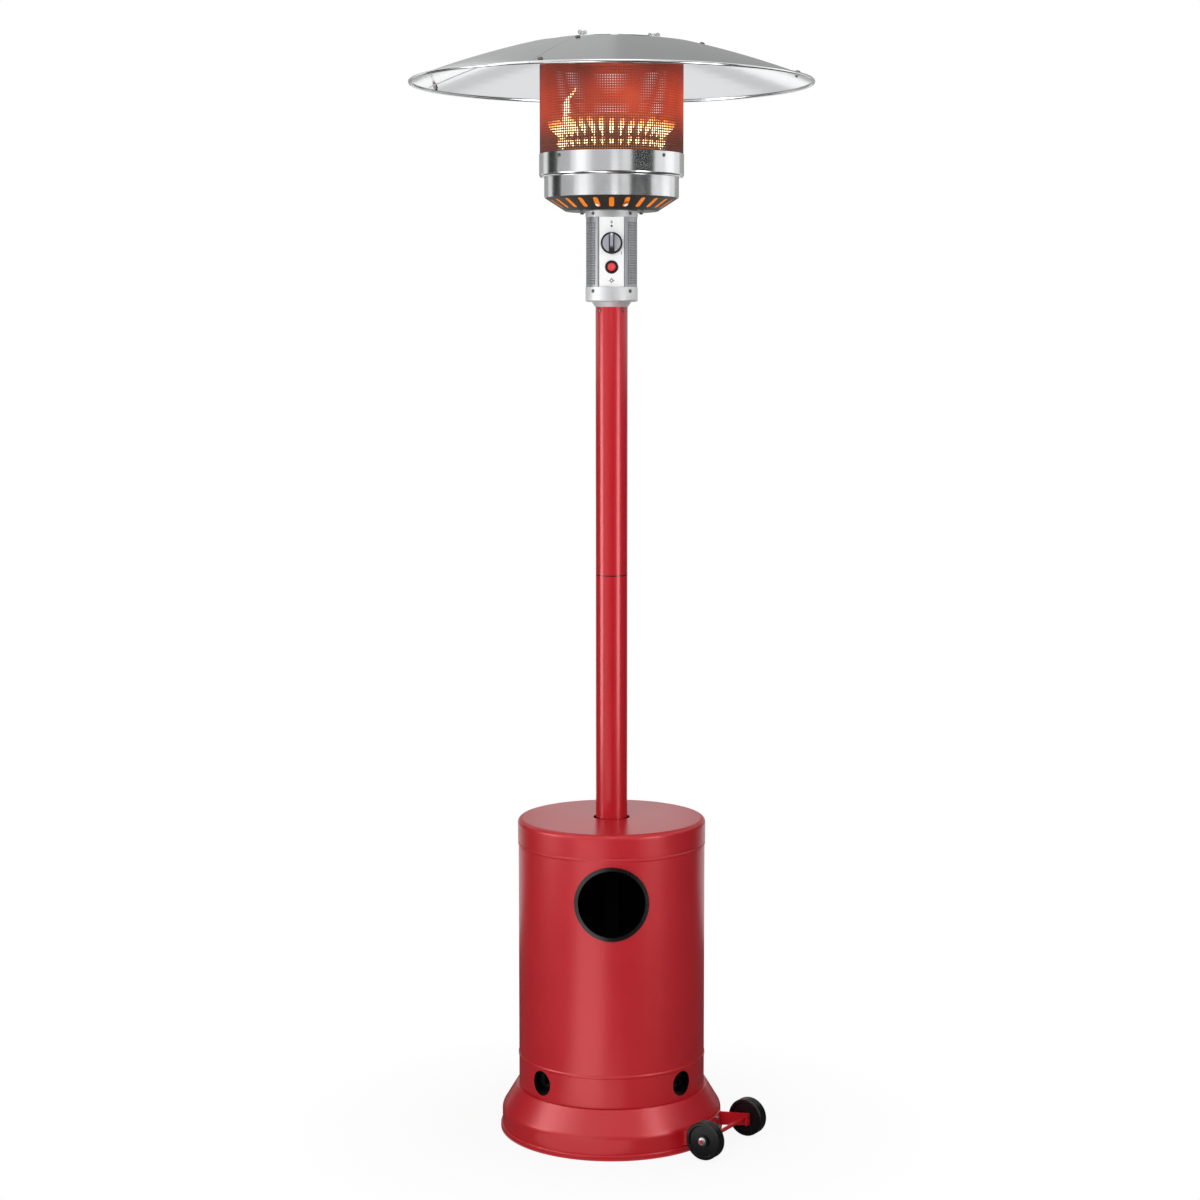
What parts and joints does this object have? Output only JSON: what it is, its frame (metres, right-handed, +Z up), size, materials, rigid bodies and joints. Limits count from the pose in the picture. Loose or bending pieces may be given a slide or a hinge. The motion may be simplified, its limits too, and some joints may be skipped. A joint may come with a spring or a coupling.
{
  "type": "patio heater",
  "caption": "Free-standing gas patio heater: red foot with a lift-up cylinder housing, tall post, control head, slotted burner, glowing screen and round reflector.",
  "frame": {"origin": "middle of the foot on the ground", "axes": "+Z up along the post, -Y the front with the control panel and the access hole"},
  "size_m": [0.804, 0.804, 2.2102],
  "materials": {
    "red_paint": "satin powder coat",
    "black_steel": "satin black paint",
    "zinc": "zinc plated",
    "stainless": "brushed stainless",
    "panel_face": "pale satin metal",
    "polished": "polished",
    "dark_steel": "dark heat-proof coat",
    "ember": "perforated steel, glowing",
    "brass": "machined",
    "black_plastic": "moulded",
    "trim_rubber": "matt",
    "wheel_black": "moulded",
    "button_red": "moulded",
    "ceramic_white": "glazed"
  },
  "bodies": {
    "stand": {"base_pan": "red_paint", "wheel_bracket": "red_paint", "axle": "red_paint", "lower_post": "red_paint", "upper_post": "red_paint", "support_leg_1": "black_steel", "support_leg_2": "black_steel", "support_leg_3": "black_steel", "post_socket": "black_steel", "leg_bolts": "zinc", "post_foot_screws": "zinc", "post_top_screws": "zinc", "post_coupler": "zinc", "bracket_bolts": "zinc", "push_caps": "zinc", "collar_screws": "zinc", "reflector_screws": "zinc", "reflector_nuts": "zinc", "wing_nuts": "zinc", "burner_supports": "zinc", "post_adapter": "stainless", "lower_collar": "stainless", "control_housing": "stainless", "neck_collar": "stainless", "lower_ring": "stainless", "upper_collar": "stainless", "emitter_cap": "stainless", "reflector_standoffs": "stainless", "pilot_burner": "stainless", "control_panel": "panel_face", "reflector_panel_1": "polished", "reflector_panel_2": "polished", "reflector_panel_3": "polished", "reflector_panel_4": "polished", "crown_plate": "polished", "burner_bowl": "dark_steel", "bowl_screws": "dark_steel", "burner_drum": "dark_steel", "mixing_tube": "dark_steel", "emitter_screen": "ember", "flame_ring": "ember", "valve_body": "brass", "inlet_fitting": "brass", "injector": "brass", "pilot_tube": "brass", "thermocouple": "brass", "igniter_bezel": "black_plastic", "igniter_body": "black_plastic", "tilt_switch": "black_plastic", "spark_electrode": "ceramic_white"},
    "tank_cover": {"tank_housing": "red_paint", "housing_lid": "red_paint", "access_trim": "trim_rubber"},
    "front_wheel": {"wheel_front": "wheel_black"},
    "back_wheel": {"wheel_back": "wheel_black"},
    "plunger": {"valve_plunger": "zinc"},
    "knob": {"valve_spindle": "zinc", "control_knob": "black_plastic"},
    "igniter": {"igniter_button": "button_red"}
  },
  "joints": [
    {"name": "housing_lift", "type": "slide", "parent": "stand", "child": "tank_cover", "axis": [0, 0, 1], "range_m": [0, 1.02]},
    {"name": "front_wheel_spin", "type": "hinge", "parent": "stand", "child": "front_wheel", "pos_m": [0.18425, -0.21654, 0.0405], "axis": [0.5299, 0.848, 0], "continuous": true},
    {"name": "back_wheel_spin", "type": "hinge", "parent": "stand", "child": "back_wheel", "pos_m": [0.27539, -0.07068, 0.0405], "axis": [0.5299, 0.848, 0], "continuous": true},
    {"name": "knob_push", "type": "slide", "parent": "stand", "child": "plunger", "axis": [0, 1, 0], "range_m": [0, 0.004], "stiffness_N_per_m": 1500},
    {"name": "knob_turn", "type": "hinge", "parent": "plunger", "child": "knob", "pos_m": [0, -0.05, 1.798], "axis": [0, -1, 0], "range_deg": [0, 220]},
    {"name": "igniter_press", "type": "slide", "parent": "stand", "child": "igniter", "axis": [0, 1, 0], "range_m": [0, 0.004], "stiffness_N_per_m": 2000}
  ]
}
